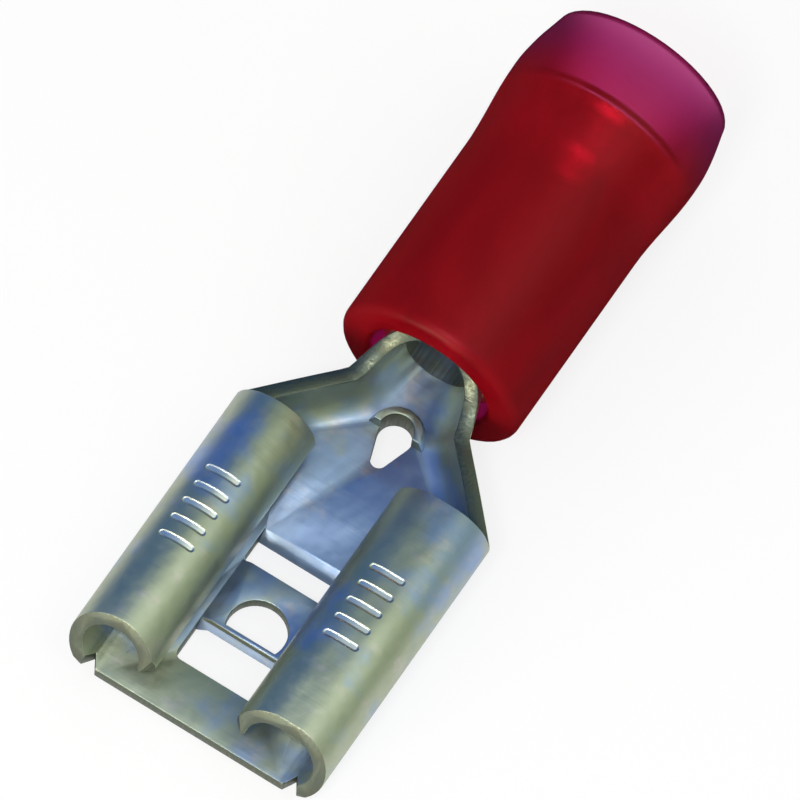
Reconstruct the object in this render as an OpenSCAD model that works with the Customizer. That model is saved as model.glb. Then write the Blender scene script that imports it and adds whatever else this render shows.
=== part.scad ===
// Insulated female spade terminal for a 6.35 x 0.8 mm tab and a 0.5 to 1.5 mm2 wire.
//
// Three pieces: a terminal folded from one tinned brass sheet, a thin metal support
// sleeve that is pressed over its wire barrel, and a nylon insulating sleeve over both.
//
// The frame: the origin is on the wire barrel's axis, in the plane of the barrel's back
// end. +Y runs out of the wire's end, -Y towards the mouth that takes the tab, and +Z
// is the receptacle's open side. The terminal itself is drawn from its own mouth and
// from the underside of its floor, and then moved to this frame as a whole.

/* [Sheet] */
// Thickness of the brass sheet
sheet = 0.4; // [0.35:0.05:0.45]

/* [Receptacle] */
// Width across the two curls
receptacle_w = 7.8; // [7.5:0.1:8.1]
// Length from the floor's front edge to the back of the curls
receptacle_len = 8.3; // [8:0.1:8.8]
// Height of the curls above the floor's underside
curl_h = 2.4; // [2.2:0.1:2.6]
// Gap between the two lips
lip_gap = 2.5; // [2.3:0.1:2.6]
// How far the gap lies to the left of the middle, as the curls were rolled
lip_shift = 0.2; // [0:0.05:0.2]
// Clear height under the lips, a little less than the tab's thickness
grip_h = 0.75; // [0.65:0.05:0.8]
// How far the tops of the curls lean back behind the floor's front edge
curl_set_back = 0.75; // [0.5:0.05:1]

/* [Floor openings] */
// Width of the two cross slots, and of the bridge between them
slot_w = 2.8; // [2.4:0.1:3]
// Front edge of the first slot, behind the floor's front edge
slot_a = 1.5; // [1.2:0.1:1.6]
// Front edge of the second slot, behind the floor's front edge
slot_b = 4.8; // [4.7:0.05:4.9]
// Length of the first slot
slot_a_len = 1.1; // [0.9:0.05:1.15]
// Length of the second slot
slot_b_len = 0.8; // [0.7:0.05:1]
// How far the first slot's back wall leans back over the sheet's thickness
slot_a_lean = 0.2; // [0.1:0.02:0.22]
// How far the second slot's back wall leans back over the sheet's thickness
slot_b_lean = 0.3; // [0.1:0.02:0.34]
// How far the bridge stands above the floor
bridge_rise = 0.15; // [0.1:0.05:0.2]
// Diameter of the round part of the D hole in the bridge
d_hole_d = 1.65; // [1.2:0.05:1.7]
// Width of the bar between the first slot and the D hole
d_hole_bar = 0.34; // [0.32:0.02:0.4]
// Diameter of the wide end of the drop hole behind the curls
drop_d = 0.95; // [0.8:0.05:1.1]
// Diameter of the drop hole's narrow end
drop_tip_d = 0.45; // [0.3:0.05:0.6]
// Length of the drop hole
drop_len = 1.5; // [1.3:0.05:1.6]

/* [Shoulders and neck] */
// Length over which the receptacle narrows to the neck
shoulder_len = 2.2; // [2:0.1:2.6]
// Height of the walls beside the shoulders
wall_h = 1.5; // [1.3:0.1:1.7]
// Width of the neck where the shoulders end
neck_w = 3.75; // [3.5:0.05:4]
// Length of the neck, up to the wire barrel
neck_len = 1.4; // [1.2:0.1:1.6]
// Height of the wire barrel's axis above the floor's underside
axis_h = 1.6; // [1.5:0.05:1.7]

/* [Wire barrel] */
// Inner diameter of the wire barrel
wire_bore_d = 2; // [1.8:0.1:2.1]
// Length of the wire barrel
barrel_len = 5.3; // [5:0.1:5.6]
// Width of the open seam along the top of the barrel
seam_w = 0.08; // [0.04:0.02:0.12]

/* [Support sleeve] */
// Wall of the support sleeve
support_t = 0.34; // [0.25:0.01:0.36]
// Inner diameter behind the barrel, for the wire's insulation
insulation_d = 3.8; // [3.6:0.1:3.9]
// Length of the cone between the two diameters
support_cone_len = 1; // [0.8:0.1:1.2]
// Length of the wide tube behind the cone
support_tube_len = 0.95; // [0.8:0.05:1]
// Length of the belled mouth
bell_len = 0.4; // [0.3:0.05:0.4]
// How far the belled mouth opens out, on the radius
bell_rise = 0.2; // [0.1:0.02:0.2]

/* [Insulating sleeve] */
// Outer diameter of the insulating sleeve
insulator_d = 5.43; // [5.3:0.01:5.6]
// Largest diameter, over the support sleeve's belled mouth
bulge_d = 5.78; // [5.7:0.01:5.9]
// Outer diameter at the back rim
rim_d = 5.2; // [5.1:0.05:5.4]
// Length of the insulating sleeve
insulator_len = 10.55; // [10.4:0.05:11]
// How far the sleeve reaches in front of the wire barrel
insulator_lead = 0.55; // [0.4:0.05:0.7]
// Diameter of the wire entry in the back rim
entry_d = 4.4; // [4.2:0.1:4.5]
// Radius of the sleeve's rounded front edge
front_round = 0.3; // [0.1:0.05:0.4]

/* [Hidden] */

$fn = 64;
eps = 0.01;
// How far a cutting shape reaches past what it cuts
over = 1;
// Facets where the shoulders leave the curls: few, so that their flats stay clear of the arcs
shoulder_fn = 32;

// Gap on the radius between pieces that are pressed together, so that no two overlap
fit_gap = 0.02;

curl_r = curl_h / 2;
curl_x = receptacle_w / 2 - curl_r;
lip_z = sheet + grip_h;

// Stations along the terminal, counted from the floor's front edge
shoulder_y = receptacle_len;
neck_y = shoulder_y + shoulder_len;
barrel_y = neck_y + neck_len;
terminal_len = barrel_y + barrel_len;

barrel_r = wire_bore_d / 2 + sheet;
neck_x = neck_w / 2 - axis_h;
// The inner faces of the shoulders start earlier, which keeps the slanting walls a sheet thick
shoulder_shift = sheet * tan(22.5);
neck_top = 2 * axis_h;
neck_sweep = neck_top - wall_h;

// The centre of the drop hole's wide end, and how far its tip's centre lies in front of it
drop_r = drop_d / 2;
drop_tip_r = drop_tip_d / 2;
drop_set_in = 0.52;
drop_y = neck_y - drop_set_in;
drop_reach = drop_len - drop_r - drop_tip_r;
stop_w = 0.36;
stop_top_w = 0.2;
stop_h = 0.42;

slot_corner = 0.18;
bridge_ramp = 0.28;
bridge_y = slot_a + slot_a_len;
d_hole_rise = 0.32;
notch_x = 3.1;
notch_w = 0.44;
notch_d = 0.36;
lip_lead = 0.3;
lip_front = curl_set_back * grip_h / (curl_h - sheet);

support_in = barrel_r + fit_gap;
support_out = support_in + support_t;
support_set_back = 0.1;
support_front = support_set_back - barrel_len;
cone_y = 0.05;
wide_in = insulation_d / 2;
tube_y = cone_y + support_cone_len;
bell_y = tube_y + support_tube_len;
support_end = bell_y + bell_len;

insulator_y = -barrel_len - insulator_lead;
insulator_end = insulator_y + insulator_len;
insulator_r = insulator_d / 2;
bulge_r = bulge_d / 2;
rim_r = rim_d / 2;
entry_r = entry_d / 2;
bulge_rise_len = 2.6;
bulge_peak = support_end + bell_len;
bulge_start = bulge_peak - bulge_rise_len;
rim_round = 0.12;
rim_round_from = 20;
mouth_chamfer = 0.12;
entry_taper = 0.25;
bell_land = 0.05;
curve_steps = 8;
edge_steps = 4;

// ---------------------------------------------------------------- helpers

// A 2D outline in X and Z, drawn out along +Y from y
module along_y(y, length) {
    translate([0, y + length, 0])
        rotate([90, 0, 0])
            linear_extrude(length)
                children();
}

// A 2D outline in Y and Z, drawn out to both sides of the middle plane
module across_x(width) {
    translate([-width / 2, 0, 0])
        rotate([90, 0, 90])
            linear_extrude(width)
                children();
}

// A band with round ends: two circles side by side, with a block between them
module round_band(x, z, r) {
    for (side = [-1, 1])
        translate([side * x, z])
            circle(r);
    translate([-x, z - r])
        square([2 * x, 2 * r]);
}

module rounded_slot(w, l, r) {
    translate([-w / 2 + r, 0])
        square([w - 2 * r, l]);
    translate([-w / 2, r])
        square([w, l - 2 * r]);
    for (x = [-w / 2 + r, w / 2 - r], y = [r, l - r])
        translate([x, y])
            circle(r);
}

// ---------------------------------------------------------------- terminal

// Where each lip's edge stands, and the centre of the arc that it ends
function lip_edge(side) = lip_gap / 2 - side * lip_shift;
function lip_centre(side) = lip_edge(side) + curl_r;

// The outline of one curl, from the floor round to its lip
module curl_outline(side) {
    mirror([side < 0 ? 1 : 0, 0])
        difference() {
            curl_block(lip_centre(side), curl_r);
            curl_block(lip_centre(side), curl_r - sheet);
            // The lip ends above the tab, and the floor has an outline of its own
            translate([0, -eps])
                square([lip_centre(side), lip_z + eps]);
        }
}

// The outside of a curl, or its hollow: two arcs with a flat between them
module curl_block(inner_x, r) {
    for (x = [inner_x, curl_x])
        translate([x, curl_r])
            circle(r);
    translate([inner_x, curl_r - r])
        square([curl_x - inner_x, 2 * r]);
}

module receptacle() {
    along_y(0, receptacle_len) {
        translate([-curl_x, 0])
            square([2 * curl_x, sheet]);
        for (side = [-1, 1])
            curl_outline(side);
    }
}

// The curls start behind the floor's edge, and lean back as they rise
module curl_lead_in() {
    across_x(receptacle_w + over)
        polygon([
            [-over, sheet],
            [0, sheet],
            [curl_set_back, curl_h],
            [curl_set_back, curl_h + over],
            [-over, curl_h + over]
        ]);
    // The inner corners of the lips are cut off
    for (side = [-1, 1])
        translate([side * lip_edge(side), lip_front, lip_z - eps])
            linear_extrude(curl_h)
                polygon([
                    [-side * eps, -curl_set_back],
                    [side * lip_lead, -curl_set_back],
                    [side * lip_lead, 0],
                    [-side * eps, lip_lead]
                ]);
}

// Small bend reliefs between the floor's edge and the root of each curl
module bend_notches() {
    for (side = [-1, 1])
        translate([side * notch_x, 0, -over])
            linear_extrude(over + 2 * sheet)
                polygon([[-notch_w / 2, -eps], [notch_w / 2, -eps], [0, notch_d]]);
}

// A cross slot whose back wall leans back, as a ramp for the tab's edge
module cross_slot(y, length, lean) {
    translate([0, y, -over])
        linear_extrude(2 * over)
            rounded_slot(slot_w, length, slot_corner);
    across_x(slot_w)
        polygon([
            [y + length - slot_corner, -over],
            [y + length, -over],
            [y + length, 0],
            [y + length + lean, sheet],
            [y + length + lean, over],
            [y + length - slot_corner, over]
        ]);
}

// Outline of the raised bridge between the two slots, with a ramp at each side
module bridge_outline() {
    foot = slot_w / 2;
    top = foot - bridge_ramp;
    polygon([
        [-foot, 0], [-top, bridge_rise], [top, bridge_rise], [foot, 0],
        [foot, sheet], [top, sheet + bridge_rise], [-top, sheet + bridge_rise], [-foot, sheet]
    ]);
}

// The D hole: its flat side faces the mouth
module d_hole() {
    flat_y = bridge_y + d_hole_bar;
    translate([0, 0, -over])
        linear_extrude(2 * over + bridge_rise)
            intersection() {
                translate([0, flat_y + d_hole_rise])
                    circle(d_hole_d / 2);
                translate([-d_hole_d, flat_y])
                    square([2 * d_hole_d, 2 * d_hole_d]);
            }
}

// The drop hole: wide towards the barrel, narrow towards the mouth
module drop_hole() {
    touch = acos((drop_r - drop_tip_r) / drop_reach);
    translate([0, drop_y, -over])
        linear_extrude(over + 3 * sheet) {
            circle(drop_r);
            translate([0, -drop_reach])
                circle(drop_tip_r);
            polygon([
                [drop_r * sin(touch), -drop_r * cos(touch)],
                [drop_tip_r * sin(touch), -drop_reach - drop_tip_r * cos(touch)],
                [-drop_tip_r * sin(touch), -drop_reach - drop_tip_r * cos(touch)],
                [-drop_r * sin(touch), -drop_r * cos(touch)]
            ]);
        }
}

// The rim that is pressed up behind the drop hole and stops the wire
module wire_stop() {
    translate([0, drop_y, sheet - eps])
        rotate_extrude(angle = 180)
            polygon([
                [drop_r, 0],
                [drop_r + stop_w, 0],
                [drop_r + stop_top_w, stop_h],
                [drop_r, stop_h]
            ]);
}

// A slice of the terminal's outline, as an end of a loft
module slice(y) {
    along_y(y, eps)
        children();
}

// The solid between the receptacle, the neck and the barrel, or its hollow
module funnel(inset, shift) {
    hull() {
        slice(shoulder_y - shift)
            round_band(curl_x, curl_r, curl_r - inset, $fn = shoulder_fn);
        slice(neck_y - shift)
            round_band(neck_x, axis_h, axis_h - inset);
    }
    hull() {
        slice(neck_y - shift)
            round_band(neck_x, axis_h, axis_h - inset);
        slice(barrel_y)
            translate([0, axis_h])
                circle(barrel_r - inset);
    }
}

module shoulders_and_neck() {
    difference() {
        funnel(0, 0);
        funnel(sheet, shoulder_shift);
        // Open top: level along the walls, then swept up to the barrel
        across_x(receptacle_w + over) {
            translate([shoulder_y - over, wall_h])
                square([over + barrel_y - neck_sweep - shoulder_y, neck_top]);
            translate([barrel_y - neck_sweep, neck_top])
                circle(neck_sweep);
        }
        // Both ends are cut square
        along_y(shoulder_y - over, over)
            translate([-receptacle_w, -over])
                square([2 * receptacle_w, neck_top + 2 * over]);
    }
}

module wire_barrel() {
    along_y(barrel_y, barrel_len)
        translate([0, axis_h])
            difference() {
                circle(barrel_r);
                circle(wire_bore_d / 2);
            }
}

// The two edges of the rolled sheet meet along the top of the barrel
module seam() {
    along_y(neck_y, terminal_len)
        translate([-seam_w / 2, axis_h])
            square([seam_w, 2 * axis_h]);
}

module terminal_body() {
    color("silver")
        translate([0, -terminal_len, -axis_h])
            difference() {
                union() {
                    difference() {
                        union() {
                            receptacle();
                            shoulders_and_neck();
                        }
                        curl_lead_in();
                        // Room for the bridge
                        translate([-slot_w / 2, bridge_y, -over])
                            cube([slot_w, slot_b - bridge_y, over + sheet + eps]);
                    }
                    along_y(bridge_y, slot_b - bridge_y)
                        bridge_outline();
                    wire_stop();
                    wire_barrel();
                }
                bend_notches();
                cross_slot(slot_a, slot_a_len, slot_a_lean);
                cross_slot(slot_b, slot_b_len, slot_b_lean);
                d_hole();
                drop_hole();
                seam();
            }
}

// ---------------------------------------------------------------- sleeves

// A profile of radius and height, spun about the barrel's axis
module turned() {
    rotate([-90, 0, 0])
        rotate_extrude()
            children();
}

module support_sleeve() {
    color("goldenrod")
        turned()
            polygon([
                [support_in, support_front],
                [support_in, cone_y],
                [wide_in, tube_y],
                [wide_in, bell_y],
                [wide_in + bell_rise, support_end],
                [wide_in + bell_rise + support_t, support_end],
                [wide_in + support_t, bell_y],
                [wide_in + support_t, tube_y],
                [support_out, cone_y],
                [support_out, support_front]
            ]);
}

// A smooth step from one radius to another
function ease(from, to, t) = from + (to - from) * (1 - cos(180 * t)) / 2;

// A quarter turn of an edge radius, from one angle to another
function edge_arc(r, y, edge, from, to) =
    [for (i = [0:edge_steps])
        let (a = from + (to - from) * i / edge_steps)
            [r + edge * cos(a), y + edge * sin(a)]];

// The outside: straight, swelling over the belled mouth, and drawn in to the rim
outside = concat(
    edge_arc(insulator_r - front_round, insulator_y + front_round, front_round, -90, 0),
    [for (i = [0:curve_steps])
        let (t = i / curve_steps)
            [ease(insulator_r, bulge_r, t), bulge_start + (bulge_peak - bulge_start) * t]],
    [for (i = [1:curve_steps])
        let (t = i / curve_steps)
            [rim_r + (bulge_r - rim_r) * cos(90 * t),
             bulge_peak + (insulator_end - rim_round - bulge_peak) * t]],
    edge_arc(rim_r - rim_round, insulator_end - rim_round, rim_round, rim_round_from, 90)
);

// The inside follows the support sleeve, and closes in behind its belled mouth
inside = [
    [entry_r + mouth_chamfer, insulator_end],
    [entry_r, insulator_end - mouth_chamfer],
    [entry_r, support_end + entry_taper],
    [wide_in + bell_rise + support_t + fit_gap, support_end + fit_gap],
    [wide_in + bell_rise + support_t + fit_gap, support_end - bell_land],
    [wide_in + support_t + fit_gap, bell_y],
    [wide_in + support_t + fit_gap, tube_y],
    [support_out + fit_gap, cone_y],
    [support_out + fit_gap, insulator_y + mouth_chamfer],
    [support_out + fit_gap + mouth_chamfer, insulator_y]
];

module insulating_sleeve() {
    color("crimson", 0.8)
        turned()
            polygon(concat(outside, inside));
}

terminal_body();
support_sleeve();
insulating_sleeve();
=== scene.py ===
import logging
import math
from dataclasses import dataclass, field
from enum import Enum

import bmesh
import bpy
from mathutils import Matrix, Vector


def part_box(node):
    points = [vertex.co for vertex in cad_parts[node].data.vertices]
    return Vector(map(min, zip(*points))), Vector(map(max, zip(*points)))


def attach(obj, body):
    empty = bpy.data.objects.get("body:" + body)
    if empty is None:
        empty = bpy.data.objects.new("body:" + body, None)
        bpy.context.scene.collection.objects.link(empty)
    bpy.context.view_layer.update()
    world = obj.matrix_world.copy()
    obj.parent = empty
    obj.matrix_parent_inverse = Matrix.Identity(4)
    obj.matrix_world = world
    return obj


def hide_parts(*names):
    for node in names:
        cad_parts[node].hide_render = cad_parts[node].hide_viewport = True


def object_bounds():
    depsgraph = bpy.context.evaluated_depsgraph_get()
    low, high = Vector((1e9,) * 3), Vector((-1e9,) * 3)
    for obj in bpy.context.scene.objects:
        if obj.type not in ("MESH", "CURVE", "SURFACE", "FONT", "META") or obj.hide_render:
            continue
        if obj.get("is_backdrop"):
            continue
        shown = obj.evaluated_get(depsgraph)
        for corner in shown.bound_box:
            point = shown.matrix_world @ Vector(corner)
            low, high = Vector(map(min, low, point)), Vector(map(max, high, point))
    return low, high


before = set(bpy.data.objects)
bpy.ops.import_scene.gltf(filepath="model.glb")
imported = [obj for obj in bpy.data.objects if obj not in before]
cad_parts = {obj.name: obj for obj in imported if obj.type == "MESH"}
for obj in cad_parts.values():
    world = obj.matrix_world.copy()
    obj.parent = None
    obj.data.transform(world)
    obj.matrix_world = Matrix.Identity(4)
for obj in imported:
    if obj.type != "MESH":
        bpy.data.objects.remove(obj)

LOG = logging.getLogger("spade_terminal")
MM = 0.001

# The Mix node's colour inputs and output, which share their names with its number ones
MIX_A, MIX_B, MIX_COLOUR = 6, 7, 2


# ---------------------------------------------------------------- helpers


def linear(hex_colour: str) -> tuple[float, float, float, float]:
    """Turns an sRGB hex colour to the linear colour that a shader takes.

    Args:
        hex_colour: Six hex digits, with or without a leading hash sign.

    Returns:
        Red, green, blue and an alpha of 1.
    """
    digits = hex_colour.lstrip("#")
    parts = []
    for start in (0, 2, 4):
        c = int(digits[start:start + 2], 16) / 255
        parts.append(c / 12.92 if c <= 0.04045 else ((c + 0.055) / 1.055) ** 2.4)
    return (parts[0], parts[1], parts[2], 1.0)


def add_node(
    tree: bpy.types.NodeTree, kind: str, inputs: dict | None = None, **settings: object
) -> bpy.types.Node:
    """Adds one node with its settings and its links.

    Args:
        tree: The node tree that takes the node.
        kind: The node's type name.
        inputs: Value or source socket for each input, by name or number.
        settings: The node's own settings.

    Returns:
        The new node.
    """
    node = tree.nodes.new(kind)
    for name, value in settings.items():
        setattr(node, name, value)
    for key, value in (inputs or {}).items():
        socket = node.inputs[key]
        if isinstance(value, bpy.types.NodeSocket):
            tree.links.new(value, socket)
        else:
            socket.default_value = value
    return node


def per_mm(size: float) -> float:
    """Scale at which a pattern repeats about every size millimetres."""
    return 1 / (size * MM)


def direction(azimuth: float, elevation: float) -> Vector:
    """Direction from the object to a point seen at these angles.

    Args:
        azimuth: Degrees round from the mouth's side, positive towards +X.
        elevation: Degrees above the horizon.

    Returns:
        A vector of length 1.
    """
    a, e = math.radians(azimuth), math.radians(elevation)
    return Vector((math.sin(a) * math.cos(e), -math.cos(a) * math.cos(e), math.sin(e)))


def new_material(name: str) -> bpy.types.Material:
    """Makes an empty node material.

    Args:
        name: The finish, in plain words.

    Returns:
        The material, whose node tree holds nothing yet.
    """
    material = bpy.data.materials.new(name)
    material.use_nodes = True
    material.node_tree.nodes.clear()
    return material


# ---------------------------------------------------------------- finishes


@dataclass(frozen=True)
class CoinedStrokes:
    """A row of plain strokes struck into the top of a curl, across the sheet.

    They carry no meaning. Their shallow sloped sides catch the light as short dashes.
    """

    x: float
    y: float
    length: float = 0.85
    width: float = 0.1
    slope: float = 0.07
    pitch: float = 0.56
    last: int = 2

    def height(self, tree: bpy.types.NodeTree, place: bpy.types.NodeSocket) -> bpy.types.NodeSocket:
        """Adds nodes for the strokes' depth.

        Args:
            tree: The finish's node tree.
            place: Object coordinates.

        Returns:
            1 at the bottom of a stroke and 0 on the plain sheet.
        """
        axes = add_node(tree, "ShaderNodeSeparateXYZ", {0: place})

        def maths(operation: str, *values: object) -> bpy.types.NodeSocket:
            """One arithmetic step."""
            inputs = dict(enumerate(values))
            return add_node(tree, "ShaderNodeMath", inputs, operation=operation).outputs[0]

        across = maths("ABSOLUTE", maths("SUBTRACT", axes.outputs["X"], self.x * MM))
        past_end = maths("MAXIMUM", maths("SUBTRACT", across, self.length / 2 * MM), 0.0)
        along = maths("ABSOLUTE", maths("SUBTRACT", axes.outputs["Y"], self.y * MM))
        to_stroke = maths("PINGPONG", along, self.pitch / 2 * MM)
        past_last = maths("SUBTRACT", along, self.last * self.pitch * MM)
        off_row = maths("MAXIMUM", to_stroke, past_last)
        distance = maths("SQRT", maths(
            "ADD", maths("MULTIPLY", past_end, past_end), maths("MULTIPLY", off_row, off_row)
        ))
        struck = add_node(
            tree, "ShaderNodeMapRange",
            {"Value": distance, "From Min": self.width / 2 * MM,
             "From Max": (self.width / 2 + self.slope) * MM, "To Min": 1.0, "To Max": 0.0},
            interpolation_type="SMOOTHSTEP",
        ).outputs["Result"]
        on_top = maths("GREATER_THAN", axes.outputs["Z"], 0.3 * MM)
        return maths("MULTIPLY", struck, on_top)


@dataclass(frozen=True)
class TinPlate:
    """Tin plating on rolled brass strip, stamped and folded after it was plated.

    The tin gives a satin, slightly cloudy silver: soft wide reflections, faint rolling
    lines across the strip, and patches that lean at random towards blue or towards straw.
    On top of that, a painted reflection sets the colour by place: bluest on the flat floor,
    and straw-coloured higher up, in the neck and at the mouth.
    """

    name: str = "tin_plated_strip"
    silver: str = "#BFC5C6"
    # cool and straw serve both the random patches and the painted reflection by place
    cool: str = "#86A4D2"
    straw: str = "#ABB393"
    rose: str = "#CBC3C0"
    patch_mm: float = 2.6
    mottle_mm: float = 0.8
    grain_mm: float = 0.09
    grain_length_mm: float = 2.5
    dent_mm: float = 1.1
    flat_z: float = -1.1
    bent_z: float = -0.4
    fresh: str = "#E6ECEA"
    mouth_y: float = -15.6
    inner_y: float = -14.4
    shoulder_y: float = -8.6
    neck_y: float = -7.2
    roughness: tuple[float, float] = (0.4, 0.52)
    strokes: tuple[CoinedStrokes, ...] = (
        CoinedStrokes(x=-2.75, y=-12.6),
        CoinedStrokes(x=2.3, y=-12.6),
    )

    def make(self) -> bpy.types.Material:
        """Builds the material.

        Returns:
            The finished material.
        """
        material = new_material(self.name)
        tree = material.node_tree
        place = add_node(tree, "ShaderNodeTexCoord").outputs["Object"]
        surface = add_node(
            tree, "ShaderNodeBsdfPrincipled",
            {"Base Color": self.colour(tree, place), "Metallic": 1.0,
             "Roughness": self.sheen(tree, place), "Normal": self.relief(tree, place)},
        )
        add_node(tree, "ShaderNodeOutputMaterial", {"Surface": surface.outputs[0]})
        return material

    def colour(self, tree: bpy.types.NodeTree, place: bpy.types.NodeSocket) -> bpy.types.NodeSocket:
        """Adds the plating's cloudy colour and a painted reflection by place.

        Args:
            tree: The finish's node tree.
            place: Object coordinates.

        Returns:
            The colour's socket.
        """
        patches = add_node(
            tree, "ShaderNodeTexNoise",
            {"Vector": place, "Scale": per_mm(self.patch_mm), "Detail": 3.0, "Roughness": 0.55},
        )
        axes = add_node(tree, "ShaderNodeSeparateXYZ", {0: place})
        # Painted reflection by height: low, flat faces lean to the blue tint, and higher faces lean
        # to straw
        painted_reflection_by_height = add_node(
            tree, "ShaderNodeMapRange",
            {"Value": axes.outputs["Z"], "From Min": self.flat_z * MM,
             "From Max": self.bent_z * MM, "To Min": -0.12, "To Max": 0.06},
        )
        # Painted reflection: the mouth's front moves towards straw
        painted_mouth_reflection = add_node(
            tree, "ShaderNodeMapRange",
            {"Value": axes.outputs["Y"], "From Min": self.mouth_y * MM,
             "From Max": self.inner_y * MM, "To Min": 0.18, "To Max": 0.0},
        )
        # Painted reflection: from the shoulders into the neck, the colour moves towards straw
        painted_neck_reflection = add_node(
            tree, "ShaderNodeMapRange",
            {"Value": axes.outputs["Y"], "From Min": self.shoulder_y * MM,
             "From Max": self.neck_y * MM, "To Min": 0.0, "To Max": 0.16},
        )
        painted_end_reflections = add_node(
            tree, "ShaderNodeMath",
            {0: painted_mouth_reflection.outputs["Result"], 1: painted_neck_reflection.outputs["Result"]}, operation="ADD",
        )
        painted_reflection_bias = add_node(
            tree, "ShaderNodeMath",
            {0: painted_reflection_by_height.outputs["Result"], 1: painted_end_reflections.outputs[0]}, operation="ADD",
        )
        # Random patches plus the painted reflection by place
        patches_and_painted_reflection = add_node(
            tree, "ShaderNodeMath",
            {0: patches.outputs["Fac"], 1: painted_reflection_bias.outputs[0]}, operation="ADD",
        )
        lean = add_node(
            tree, "ShaderNodeMapRange",
            {"Value": patches_and_painted_reflection.outputs[0], "From Min": 0.42, "From Max": 0.6},
            interpolation_type="SMOOTHSTEP",
        )
        tint = add_node(
            tree, "ShaderNodeMix",
            {0: lean.outputs["Result"], MIX_A: linear(self.cool), MIX_B: linear(self.straw)},
            data_type="RGBA",
        )
        plain = add_node(
            tree, "ShaderNodeMix",
            {0: 0.3, MIX_A: tint.outputs[MIX_COLOUR], MIX_B: linear(self.silver)},
            data_type="RGBA",
        )
        mottle = add_node(
            tree, "ShaderNodeTexNoise",
            {"Vector": place, "Scale": per_mm(self.mottle_mm), "Detail": 4.0, "Roughness": 0.6},
        )
        blush = add_node(
            tree, "ShaderNodeMapRange",
            {"Value": mottle.outputs["Fac"], "From Min": 0.52, "From Max": 0.72, "To Max": 0.5},
            interpolation_type="SMOOTHSTEP",
        )
        colour = add_node(
            tree, "ShaderNodeMix",
            {
                0: blush.outputs["Result"],
                MIX_A: plain.outputs[MIX_COLOUR],
                MIX_B: linear(self.rose),
            },
            data_type="RGBA",
        ).outputs[MIX_COLOUR]
        for row in self.strokes:
            colour = add_node(
                tree, "ShaderNodeMix",
                {0: row.height(tree, place), MIX_A: colour, MIX_B: linear(self.fresh)},
                data_type="RGBA",
            ).outputs[MIX_COLOUR]
        return colour

    def sheen(self, tree: bpy.types.NodeTree, place: bpy.types.NodeSocket) -> bpy.types.NodeSocket:
        """Adds the uneven satin of the plating and returns its roughness socket."""
        wear = add_node(
            tree, "ShaderNodeTexNoise",
            {"Vector": place, "Scale": per_mm(self.mottle_mm * 0.7), "Detail": 5.0,
             "Roughness": 0.65, "Distortion": 0.4},
        )
        return add_node(
            tree, "ShaderNodeMapRange",
            {"Value": wear.outputs["Fac"], "From Min": 0.3, "From Max": 0.7,
             "To Min": self.roughness[0], "To Max": self.roughness[1]},
        ).outputs["Result"]

    def relief(self, tree: bpy.types.NodeTree, place: bpy.types.NodeSocket) -> bpy.types.NodeSocket:
        """Adds the rolling lines, the dents of folding and the strokes.

        Args:
            tree: The finish's node tree.
            place: Object coordinates.

        Returns:
            The bumped normal.
        """
        stretched = add_node(
            tree, "ShaderNodeMapping",
            {"Vector": place, "Scale": (per_mm(self.grain_length_mm), per_mm(self.grain_mm),
                                        per_mm(self.grain_length_mm))},
        )
        grain = add_node(
            tree, "ShaderNodeTexNoise",
            {"Vector": stretched.outputs[0], "Scale": 1.0, "Detail": 2.0},
        )
        dents = add_node(
            tree, "ShaderNodeTexNoise",
            {"Vector": place, "Scale": per_mm(self.dent_mm), "Detail": 2.0, "Roughness": 0.5},
        )
        lined = add_node(
            tree, "ShaderNodeBump",
            {"Height": grain.outputs["Fac"], "Distance": 0.003 * MM, "Strength": 1.0},
        )
        dented = add_node(
            tree, "ShaderNodeBump",
            {"Height": dents.outputs["Fac"], "Distance": 0.04 * MM, "Strength": 1.0,
             "Normal": lined.outputs[0]},
        )
        normal = dented.outputs[0]
        for row in self.strokes:
            normal = add_node(
                tree, "ShaderNodeBump",
                {"Height": row.height(tree, place), "Distance": 0.05 * MM, "Strength": 1.0,
                 "Normal": normal},
                invert=True,
            ).outputs[0]
        return normal


@dataclass(frozen=True)
class CutEdge:
    """The brass that shearing lays bare round the outline and the openings.

    A shear first burnishes the edge and then tears it, so the edge is duller than the
    plating, straw-coloured, and carries short lines across the sheet's thickness.
    """

    name: str = "sheared_brass_edge"
    brass: str = "#6A6C58"
    smeared_tin: str = "#5C6864"
    line_mm: float = 0.07
    roughness: tuple[float, float] = (0.34, 0.55)

    def make(self) -> bpy.types.Material:
        """Builds the material.

        Returns:
            The finished material.
        """
        material = new_material(self.name)
        tree = material.node_tree
        place = add_node(tree, "ShaderNodeTexCoord").outputs["Object"]
        smear = add_node(
            tree, "ShaderNodeTexNoise",
            {"Vector": place, "Scale": per_mm(0.5), "Detail": 3.0},
        )
        colour = add_node(
            tree, "ShaderNodeMix",
            {0: smear.outputs["Fac"], MIX_A: linear(self.brass), MIX_B: linear(self.smeared_tin)},
            data_type="RGBA",
        )
        stretched = add_node(
            tree, "ShaderNodeMapping",
            {"Vector": place, "Scale": (per_mm(self.line_mm), per_mm(self.line_mm), per_mm(0.6))},
        )
        lines = add_node(
            tree, "ShaderNodeTexNoise",
            {"Vector": stretched.outputs[0], "Scale": 1.0, "Detail": 2.0},
        )
        dull = add_node(
            tree, "ShaderNodeMapRange",
            {"Value": lines.outputs["Fac"], "From Min": 0.3, "From Max": 0.7,
             "To Min": self.roughness[0], "To Max": self.roughness[1]},
        )
        bump = add_node(
            tree, "ShaderNodeBump",
            {"Height": lines.outputs["Fac"], "Distance": 0.006 * MM, "Strength": 1.0},
        )
        surface = add_node(
            tree, "ShaderNodeBsdfPrincipled",
            {"Base Color": colour.outputs[MIX_COLOUR], "Metallic": 1.0,
             "Roughness": dull.outputs["Result"], "Normal": bump.outputs[0]},
        )
        add_node(tree, "ShaderNodeOutputMaterial", {"Surface": surface.outputs[0]})
        return material


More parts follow.
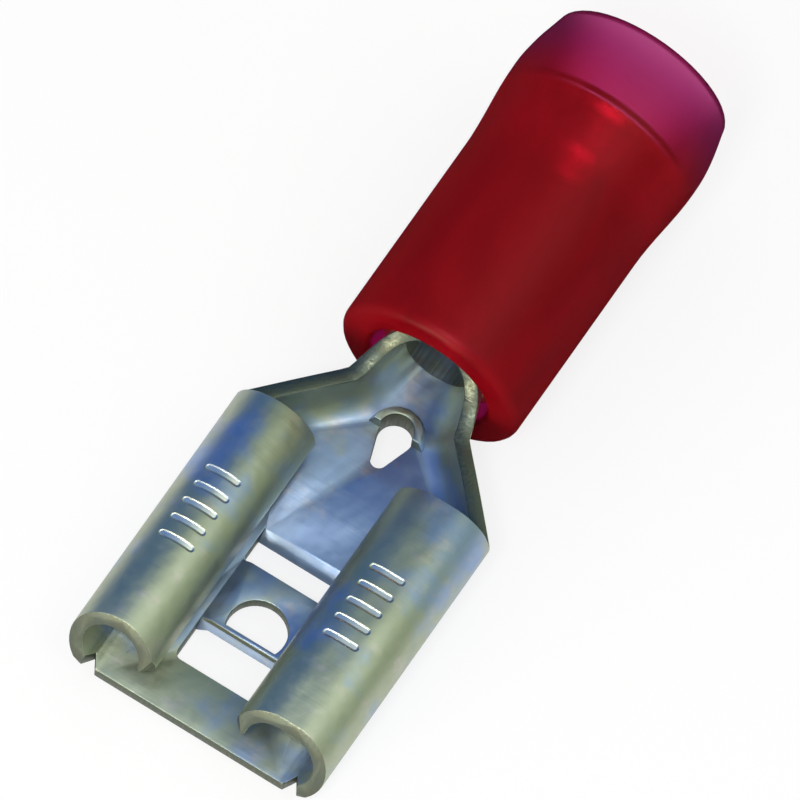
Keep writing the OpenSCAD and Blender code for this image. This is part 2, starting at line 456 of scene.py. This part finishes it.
@dataclass(frozen=True)
class DrawnBrass:
    """Thin brass tube, drawn through a die and belled at one end.

    Drawing leaves fine lines along the tube, so it shines in a streak down its length,
    warm against the dyed nylon over it.
    """

    name: str = "drawn_brass_tube"
    brass: str = "#D9B26A"
    tarnish: str = "#B98F52"
    line_mm: float = 0.08
    roughness: tuple[float, float] = (0.26, 0.42)

    def make(self) -> bpy.types.Material:
        """Builds the material.

        Returns:
            The finished material.
        """
        material = new_material(self.name)
        tree = material.node_tree
        place = add_node(tree, "ShaderNodeTexCoord").outputs["Object"]
        stretched = add_node(
            tree, "ShaderNodeMapping",
            {"Vector": place, "Scale": (per_mm(self.line_mm), per_mm(3.0), per_mm(self.line_mm))},
        )
        lines = add_node(
            tree, "ShaderNodeTexNoise",
            {"Vector": stretched.outputs[0], "Scale": 1.0, "Detail": 2.0},
        )
        clouds = add_node(
            tree, "ShaderNodeTexNoise", {"Vector": place, "Scale": per_mm(1.2), "Detail": 3.0}
        )
        colour = add_node(
            tree, "ShaderNodeMix",
            {0: clouds.outputs["Fac"], MIX_A: linear(self.brass), MIX_B: linear(self.tarnish)},
            data_type="RGBA",
        )
        satin = add_node(
            tree, "ShaderNodeMapRange",
            {"Value": clouds.outputs["Fac"], "From Min": 0.3, "From Max": 0.7,
             "To Min": self.roughness[0], "To Max": self.roughness[1]},
        )
        bump = add_node(
            tree, "ShaderNodeBump",
            {"Height": lines.outputs["Fac"], "Distance": 0.004 * MM, "Strength": 1.0},
        )
        surface = add_node(
            tree, "ShaderNodeBsdfPrincipled",
            {"Base Color": colour.outputs[MIX_COLOUR], "Metallic": 1.0,
             "Roughness": satin.outputs["Result"], "Normal": bump.outputs[0]},
        )
        add_node(tree, "ShaderNodeOutputMaterial", {"Surface": surface.outputs[0]})
        return material


@dataclass(frozen=True)
class DyedNylon:
    """Translucent nylon, dyed through and moulded in a polished tool.

    Part of the light scatters in the dyed wall, which gives it its crimson. The rest goes
    through and is dyed by the depth it crosses, so the brass inside glows red where it
    catches a lamp and the outline turns nearly black. The hollow back end is a painted
    purple glow; the dyed nylon itself is the same all through.
    """

    name: str = "dyed_translucent_nylon"
    crimson: str = "#D0001C"
    # Painted glow: the purple of the hollow back end, and the span along the sleeve where it comes
    # in
    painted_glow_plum: str = "#A41A6A"
    painted_glow_from: float = 2.0
    painted_glow_to: float = 4.2
    clear: str = "#FFE8F0"
    depth_colour: str = "#DB00BD"
    depth_density: float = 4000.0
    shadow: str = "#F4B8C8"
    scatter_share: float = 0.25
    mirror_share: float = 0.008
    roughness: tuple[float, float] = (0.36, 0.48)
    flow_mm: float = 1.3

    def make(self) -> bpy.types.Material:
        """Builds the material.

        Returns:
            The finished material.
        """
        material = new_material(self.name)
        tree = material.node_tree
        place = add_node(tree, "ShaderNodeTexCoord").outputs["Object"]
        flow = add_node(
            tree, "ShaderNodeTexNoise",
            {"Vector": add_node(
                tree, "ShaderNodeMapping",
                {"Vector": place, "Scale": (1.0, 0.35, 1.0)},
            ).outputs[0], "Scale": per_mm(self.flow_mm), "Detail": 3.0, "Distortion": 0.6},
        ).outputs["Fac"]
        satin = add_node(
            tree, "ShaderNodeMapRange",
            {"Value": flow, "From Min": 0.3, "From Max": 0.7,
             "To Min": self.roughness[0], "To Max": self.roughness[1]},
        ).outputs["Result"]
        ripple = add_node(
            tree, "ShaderNodeBump", {"Height": flow, "Distance": 0.03 * MM, "Strength": 1.0}
        ).outputs[0]
        scattered = add_node(
            tree, "ShaderNodeBsdfDiffuse",
            {"Color": self.dye_and_painted_glow(tree, place, flow), "Normal": ripple},
        )
        passed = add_node(
            tree, "ShaderNodeBsdfRefraction",
            {"Color": linear(self.clear), "Roughness": satin, "IOR": 1.53, "Normal": ripple},
        )
        body = add_node(
            tree, "ShaderNodeMixShader",
            {0: self.scatter_share, 1: passed.outputs[0], 2: scattered.outputs[0]},
        )
        mirror = add_node(
            tree, "ShaderNodeBsdfGlossy",
            {"Color": linear("#FFFFFF"), "Roughness": satin, "Normal": ripple},
        )
        polished = add_node(
            tree, "ShaderNodeMixShader",
            {0: self.mirror_share, 1: body.outputs[0], 2: mirror.outputs[0]},
        )
        for_lamps = add_node(tree, "ShaderNodeBsdfTransparent", {"Color": linear(self.shadow)})
        rays = add_node(tree, "ShaderNodeLightPath")
        surface = add_node(
            tree, "ShaderNodeMixShader",
            {0: rays.outputs["Is Shadow Ray"], 1: polished.outputs[0], 2: for_lamps.outputs[0]},
        )
        depth = add_node(
            tree, "ShaderNodeVolumeAbsorption",
            {"Color": linear(self.depth_colour), "Density": self.depth_density},
        )
        add_node(
            tree, "ShaderNodeOutputMaterial",
            {"Surface": surface.outputs[0], "Volume": depth.outputs[0]},
        )
        return material

    def dye_and_painted_glow(
        self, tree: bpy.types.NodeTree, place: bpy.types.NodeSocket, flow: bpy.types.NodeSocket
    ) -> bpy.types.NodeSocket:
        """Adds the dyed crimson, and a painted purple glow past the end of the brass inside.

        Args:
            tree: The finish's node tree.
            place: Object coordinates.
            flow: The faint streaks that the melt left.

        Returns:
            The colour's socket.
        """
        # Painted glow: past the brass inside, the colour turns from crimson to purple by Y alone
        back = add_node(
            tree, "ShaderNodeMapRange",
            {"Value": add_node(tree, "ShaderNodeSeparateXYZ", {0: place}).outputs["Y"],
             "From Min": self.painted_glow_from * MM, "From Max": self.painted_glow_to * MM},
            interpolation_type="SMOOTHSTEP",
        )
        hue = add_node(
            tree, "ShaderNodeMix",
            {0: back.outputs["Result"], MIX_A: linear(self.crimson), MIX_B: linear(self.painted_glow_plum)},
            data_type="RGBA",
        )
        depth = add_node(
            tree, "ShaderNodeMapRange",
            {"Value": flow, "From Min": 0.3, "From Max": 0.7, "To Min": 0.78, "To Max": 1.1},
        )
        return add_node(
            tree, "ShaderNodeHueSaturation",
            {"Color": hue.outputs[MIX_COLOUR], "Value": depth.outputs["Result"]},
        ).outputs[0]


# ---------------------------------------------------------------- pieces


class Part(Enum):
    """The frame's nodes that this script finishes."""

    TERMINAL = "terminal_body"
    SUPPORT = "support_sleeve"
    INSULATION = "insulating_sleeve"


def welded_copy(part: Part) -> bmesh.types.BMesh:
    """Copies a frame node's mesh and joins its loose triangles.

    Args:
        part: The node to copy.

    Returns:
        A closed mesh, with its flat faces whole again.
    """
    mesh = bmesh.new()
    mesh.from_mesh(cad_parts[part.value].data)
    bmesh.ops.remove_doubles(mesh, verts=mesh.verts, dist=0.0005 * MM)
    bmesh.ops.dissolve_degenerate(mesh, edges=mesh.edges, dist=0.012 * MM)
    bmesh.ops.dissolve_limit(
        mesh, angle_limit=math.radians(0.6), verts=mesh.verts, edges=mesh.edges
    )
    mesh.normal_update()
    return mesh


def hard_edges(mesh: bmesh.types.BMesh, sharper_than: float) -> list[bmesh.types.BMEdge]:
    """The edges of a mesh that turn by more than an angle in degrees."""
    return [
        edge for edge in mesh.edges
        if edge.is_manifold and edge.calc_face_angle() > math.radians(sharper_than)
    ]


def soften(mesh: bmesh.types.BMesh, edges: list[bmesh.types.BMEdge], radius: float) -> None:
    """Rounds some edges of a mesh.

    Args:
        mesh: The mesh to change.
        edges: The edges to round.
        radius: How far the rounding reaches, in millimetres.
    """
    bmesh.ops.bevel(
        mesh, geom=edges, offset=radius * MM, offset_type="OFFSET", segments=2, profile=0.5,
        affect="EDGES", clamp_overlap=False, material=-1, loop_slide=True,
    )
    bmesh.ops.remove_doubles(mesh, verts=mesh.verts, dist=0.001 * MM)
    mesh.normal_update()


def to_piece(
    mesh: bmesh.types.BMesh, name: str, materials: list[bpy.types.Material], crease: float = 32
) -> bpy.types.Object:
    """Turns a mesh to a smooth-shaded object at the origin.

    Args:
        mesh: The finished mesh, which is freed.
        name: The piece's name.
        materials: One material for each slot.
        crease: Angle in degrees past which shading keeps an edge hard.

    Returns:
        The new object.
    """
    for face in mesh.faces:
        face.smooth = True
    for edge in mesh.edges:
        edge.smooth = edge.is_manifold and edge.calc_face_angle(0.0) < math.radians(crease)
    data = bpy.data.meshes.new(name)
    mesh.to_mesh(data)
    mesh.free()
    for material in materials:
        data.materials.append(material)
    piece = bpy.data.objects.new(name, data)
    bpy.context.scene.collection.objects.link(piece)
    return piece


@dataclass
class Terminal:
    """The terminal folded from one sheet: receptacle, shoulders, neck and wire barrel."""

    plating: TinPlate = field(default_factory=TinPlate)
    edge: CutEdge = field(default_factory=CutEdge)
    edge_radius: float = 0.04
    floor_top: float = -0.9
    opening_half: float = 1.45
    mouth_reach: float = 0.9
    lip_z: float = -0.45
    wall_z: float = -0.12
    curl_back_y: float = -8.95
    barrel_y: float = -5.3
    seam_half: float = 0.06
    ramp_normal_z: float = 0.4
    tolerance: float = 0.06

    def build(self) -> bpy.types.Object:
        """Builds the terminal with softened, sheared edges.

        Returns:
            The piece, riding on the root body.
        """
        mesh = welded_copy(Part.TERMINAL)
        mouth_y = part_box(Part.TERMINAL.value)[0].y / MM
        for face in mesh.faces:
            face.material_index = int(self.is_cut(face, mouth_y))
        outline = [edge for edge in hard_edges(mesh, 30) if self.is_outline(edge)]
        soften(mesh, outline, self.edge_radius)
        piece = to_piece(mesh, "plated_terminal", [self.plating.make(), self.edge.make()])
        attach(piece, "root")
        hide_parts(Part.TERMINAL.value)
        return piece

    def is_cut(self, face: bmesh.types.BMFace, mouth_y: float) -> bool:
        """Whether a face is a sheared edge of the sheet, and not plated.

        Args:
            face: A face of the terminal.
            mouth_y: Where the mouth's front edge lies, in millimetres.

        Returns:
            True on the outline, the openings' walls, the lips' edges and the seam.
        """
        normal, centre = face.normal, face.calc_center_median() / MM
        upright = abs(normal.z) < 0.05
        end = abs(normal.y) > 0.78 and normal.z < self.ramp_normal_z \
            and abs(centre.y - self.barrel_y) > self.tolerance
        opening = upright and centre.z < self.floor_top and abs(centre.x) < self.opening_half
        notch = upright and abs(normal.x) < 0.999 and centre.y < mouth_y + self.mouth_reach
        lip = normal.z < -0.95 and abs(centre.z - self.lip_z) < self.tolerance
        wall_top = normal.z > 0 and abs(normal.x) < 0.03 and centre.z > self.wall_z \
            and self.curl_back_y < centre.y < self.barrel_y + self.tolerance
        seam = abs(normal.x) > 0.97 and abs(centre.x) < self.seam_half and centre.z > 0
        return end or opening or notch or lip or wall_top or seam

    def is_outline(self, edge: bmesh.types.BMEdge) -> bool:
        """Whether an outward edge divides a sheared face from a plated one."""
        first, second = edge.link_faces
        divides = first.material_index != second.material_index
        middle = (edge.verts[0].co + edge.verts[1].co) / (2 * MM)
        return divides and edge.is_convex and abs(middle.y - self.barrel_y) > self.tolerance


@dataclass
class SupportSleeve:
    """The thin metal tube pressed over the wire barrel, belled behind it."""

    metal: DrawnBrass = field(default_factory=DrawnBrass)
    edge_radius: float = 0.04

    def build(self) -> bpy.types.Object:
        """Builds the sleeve.

        Returns:
            The piece, riding on the root body.
        """
        mesh = welded_copy(Part.SUPPORT)
        soften(mesh, hard_edges(mesh, 50), self.edge_radius)
        piece = to_piece(mesh, "drawn_support_sleeve", [self.metal.make()])
        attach(piece, "root")
        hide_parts(Part.SUPPORT.value)
        return piece


@dataclass
class InsulatingSleeve:
    """The moulded nylon sleeve over the barrel and the support sleeve."""

    nylon: DyedNylon = field(default_factory=DyedNylon)
    edge_radius: float = 0.05

    def build(self) -> bpy.types.Object:
        """Builds the sleeve.

        Returns:
            The piece, riding on the root body.
        """
        mesh = welded_copy(Part.INSULATION)
        soften(mesh, hard_edges(mesh, 40), self.edge_radius)
        piece = to_piece(mesh, "moulded_insulation", [self.nylon.make()])
        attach(piece, "root")
        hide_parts(Part.INSULATION.value)
        return piece


# ---------------------------------------------------------------- studio


@dataclass
class Viewpoint:
    """The camera: nearly overhead, to the right of the mouth, and rolled to the left."""

    azimuth: float = 23.84
    elevation: float = 65.0
    roll: float = 9.48
    field_mm: float = 20.78
    distance_mm: float = 700.0
    aim_right_mm: float = -0.43
    aim_up_mm: float = -0.35

    def build(self, centre: Vector) -> bpy.types.Object:
        """Builds the camera and makes it the scene's own.

        Args:
            centre: The middle of the object's box.

        Returns:
            The camera.
        """
        back = direction(self.azimuth, self.elevation)
        turn = (-back).to_track_quat("-Z", "Y").to_matrix()
        aim = centre + turn @ Vector((self.aim_right_mm, self.aim_up_mm, 0)) * MM
        data = bpy.data.cameras.new("camera")
        data.lens = data.sensor_width * self.distance_mm / self.field_mm
        data.clip_start, data.clip_end = 10 * MM, 2000 * MM
        camera = bpy.data.objects.new("camera", data)
        rolled = turn @ Matrix.Rotation(math.radians(self.roll), 3, "Z")
        camera.matrix_world = Matrix.LocRotScale(aim + back * self.distance_mm * MM, rolled, None)
        bpy.context.scene.collection.objects.link(camera)
        bpy.context.scene.camera = camera
        return camera


@dataclass(frozen=True)
class Softbox:
    """A square soft lamp, aimed at the object."""

    name: str
    azimuth: float
    elevation: float
    distance_mm: float
    side_mm: float
    watts: float
    colour: str = "#FFFFFF"

    def build(self, centre: Vector) -> bpy.types.Object:
        """Builds the lamp.

        Args:
            centre: The middle of the object's box.

        Returns:
            The lamp.
        """
        out = direction(self.azimuth, self.elevation)
        data = bpy.data.lights.new(self.name, "AREA")
        data.shape, data.size = "SQUARE", self.side_mm * MM
        data.energy, data.color = self.watts, linear(self.colour)[:3]
        lamp = bpy.data.objects.new(self.name, data)
        turn = out.to_track_quat("Z", "Y").to_matrix()
        lamp.matrix_world = Matrix.LocRotScale(centre + out * self.distance_mm * MM, turn, None)
        bpy.context.scene.collection.objects.link(lamp)
        return lamp


@dataclass
class Studio:
    """Floor, surroundings and lamps."""

    floor_white: str = "#F4F5F5"
    floor_size_mm: float = 1600.0
    seen_share: float = 0.8
    mirrored_share: float = 0.3
    blue_side: str = "#3F70AE"
    khaki_side: str = "#A4B296"
    softboxes: tuple[Softbox, ...] = (
        Softbox("key", azimuth=118, elevation=58, distance_mm=110, side_mm=80, watts=0.02),
        Softbox("low_front", azimuth=-10, elevation=9, distance_mm=120, side_mm=44, watts=0.13,
                colour="#FFF4DC"),
        Softbox("cone_spot", azimuth=9, elevation=61, distance_mm=130, side_mm=24, watts=0.06),
    )

    def build(self, low: Vector, high: Vector, sleeve: bpy.types.Object) -> bpy.types.Object:
        """Builds the studio round the object.

        Args:
            low: The object's lowest corner.
            high: The object's highest corner.
            sleeve: The nylon sleeve, which lies on the floor.

        Returns:
            The floor.
        """
        centre = (low + high) / 2
        self.surroundings()
        for softbox in self.softboxes:
            softbox.build(centre)
        return self.floor(sleeve)

    def floor(self, sleeve: bpy.types.Object) -> bpy.types.Object:
        """Builds the floor, turned about the mouth's edge until it meets the sleeve.

        The part's weight lies just ahead of the sleeve. Left to itself, it tips forward onto
        the mouth's edge and the sleeve's front end, and the bulge stays clear of the floor.

        Args:
            sleeve: The nylon sleeve.

        Returns:
            The floor, marked as no part of the object.
        """
        terminal_low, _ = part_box(Part.TERMINAL.value)
        mouth = Vector((0, terminal_low.y, terminal_low.z))
        touching = min(
            (vertex.co for vertex in sleeve.data.vertices),
            key=lambda point: (point.z - mouth.z) / (point.y - mouth.y),
        )
        front_end = Vector((0, touching.y, touching.z))
        along = (front_end - mouth).normalized()
        across = Vector((1, 0, 0))
        turn = Matrix((across, along, across.cross(along))).transposed().to_4x4()
        mesh = bmesh.new()
        bmesh.ops.create_grid(mesh, x_segments=1, y_segments=1, size=self.floor_size_mm / 2 * MM)
        bmesh.ops.transform(
            mesh, matrix=Matrix.Translation((mouth + front_end) / 2) @ turn, verts=mesh.verts
        )
        data = bpy.data.meshes.new("floor")
        mesh.to_mesh(data)
        mesh.free()
        data.materials.append(self.floor_material())
        floor = bpy.data.objects.new("floor", data)
        bpy.context.scene.collection.objects.link(floor)
        floor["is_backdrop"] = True
        return floor

    def floor_material(self) -> bpy.types.Material:
        """Builds a white floor that keeps a soft shadow.

        Returns:
            The floor's material.
        """
        material = new_material("white_studio_floor")
        tree = material.node_tree
        rays = add_node(tree, "ShaderNodeLightPath")
        seen = add_node(
            tree, "ShaderNodeMath",
            {0: rays.outputs["Is Camera Ray"], 1: rays.outputs["Is Transmission Ray"]},
            operation="MAXIMUM",
        )
        direct = add_node(
            tree, "ShaderNodeMath", {0: seen.outputs[0], 1: self.seen_share}, operation="MULTIPLY"
        )
        mirrored = add_node(
            tree, "ShaderNodeMath",
            {0: rays.outputs["Is Glossy Ray"], 1: self.mirrored_share}, operation="MULTIPLY",
        )
        share = add_node(
            tree, "ShaderNodeMath", {0: direct.outputs[0], 1: mirrored.outputs[0]},
            operation="MAXIMUM",
        )
        matt = add_node(tree, "ShaderNodeBsdfDiffuse", {"Color": linear(self.floor_white)})
        lit = add_node(tree, "ShaderNodeEmission", {"Strength": 1.0})
        mixed = add_node(
            tree, "ShaderNodeMixShader",
            {0: share.outputs[0], 1: matt.outputs[0], 2: lit.outputs[0]},
        )
        add_node(tree, "ShaderNodeOutputMaterial", {"Surface": mixed.outputs[0]})
        return material

    def surroundings(self) -> None:
        """Builds the world: white behind the object, and a soft room in reflections."""
        world = bpy.data.worlds.new("studio_room")
        world.use_nodes = True
        tree = world.node_tree
        tree.nodes.clear()
        rays = add_node(tree, "ShaderNodeLightPath")
        way = add_node(
            tree, "ShaderNodeSeparateXYZ",
            {0: add_node(tree, "ShaderNodeTexCoord").outputs["Generated"]},
        )
        side = add_node(
            tree, "ShaderNodeMapRange",
            {"Value": way.outputs["X"], "From Min": -0.35, "From Max": 0.1},
            interpolation_type="SMOOTHSTEP",
        )
        room = add_node(
            tree, "ShaderNodeMix",
            {
                0: side.outputs["Result"],
                MIX_A: linear(self.blue_side),
                MIX_B: linear(self.khaki_side),
            },
            data_type="RGBA",
        )
        plain = add_node(
            tree, "ShaderNodeMix",
            {0: rays.outputs["Is Glossy Ray"], MIX_A: linear("#C8C8C8"),
             MIX_B: room.outputs[MIX_COLOUR]},
            data_type="RGBA",
        )
        white = add_node(
            tree, "ShaderNodeMix",
            {0: rays.outputs["Is Camera Ray"], MIX_A: plain.outputs[MIX_COLOUR],
             MIX_B: linear("#FFFFFF")},
            data_type="RGBA",
        )
        glow = add_node(tree, "ShaderNodeBackground", {"Color": white.outputs[MIX_COLOUR]})
        add_node(tree, "ShaderNodeOutputWorld", {"Surface": glow.outputs[0]})
        bpy.context.scene.world = world


# ---------------------------------------------------------------- main


def corners() -> list[list[float]]:
    """The shown object's lowest and highest corner as plain lists, in metres."""
    bpy.context.view_layer.update()
    return [list(corner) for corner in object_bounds()]


def main() -> None:
    """Builds the pieces, the camera and the studio, and reports each piece's face count."""
    logging.basicConfig(level=logging.INFO, format="%(message)s")
    before = corners()
    low, high = Vector(before[0]), Vector(before[1])
    Viewpoint().build((low + high) / 2)
    terminal, support, insulation = (
        assembly.build() for assembly in (Terminal(), SupportSleeve(), InsulatingSleeve())
    )
    for piece in (terminal, support, insulation):
        LOG.info("%s: %d faces", piece.name, len(piece.data.polygons))
    Studio().build(low, high, insulation)
    bpy.context.scene.view_settings.view_transform = "Standard"
    {"cad": before, "visual": corners()}


if __name__ == "__main__":
    main()
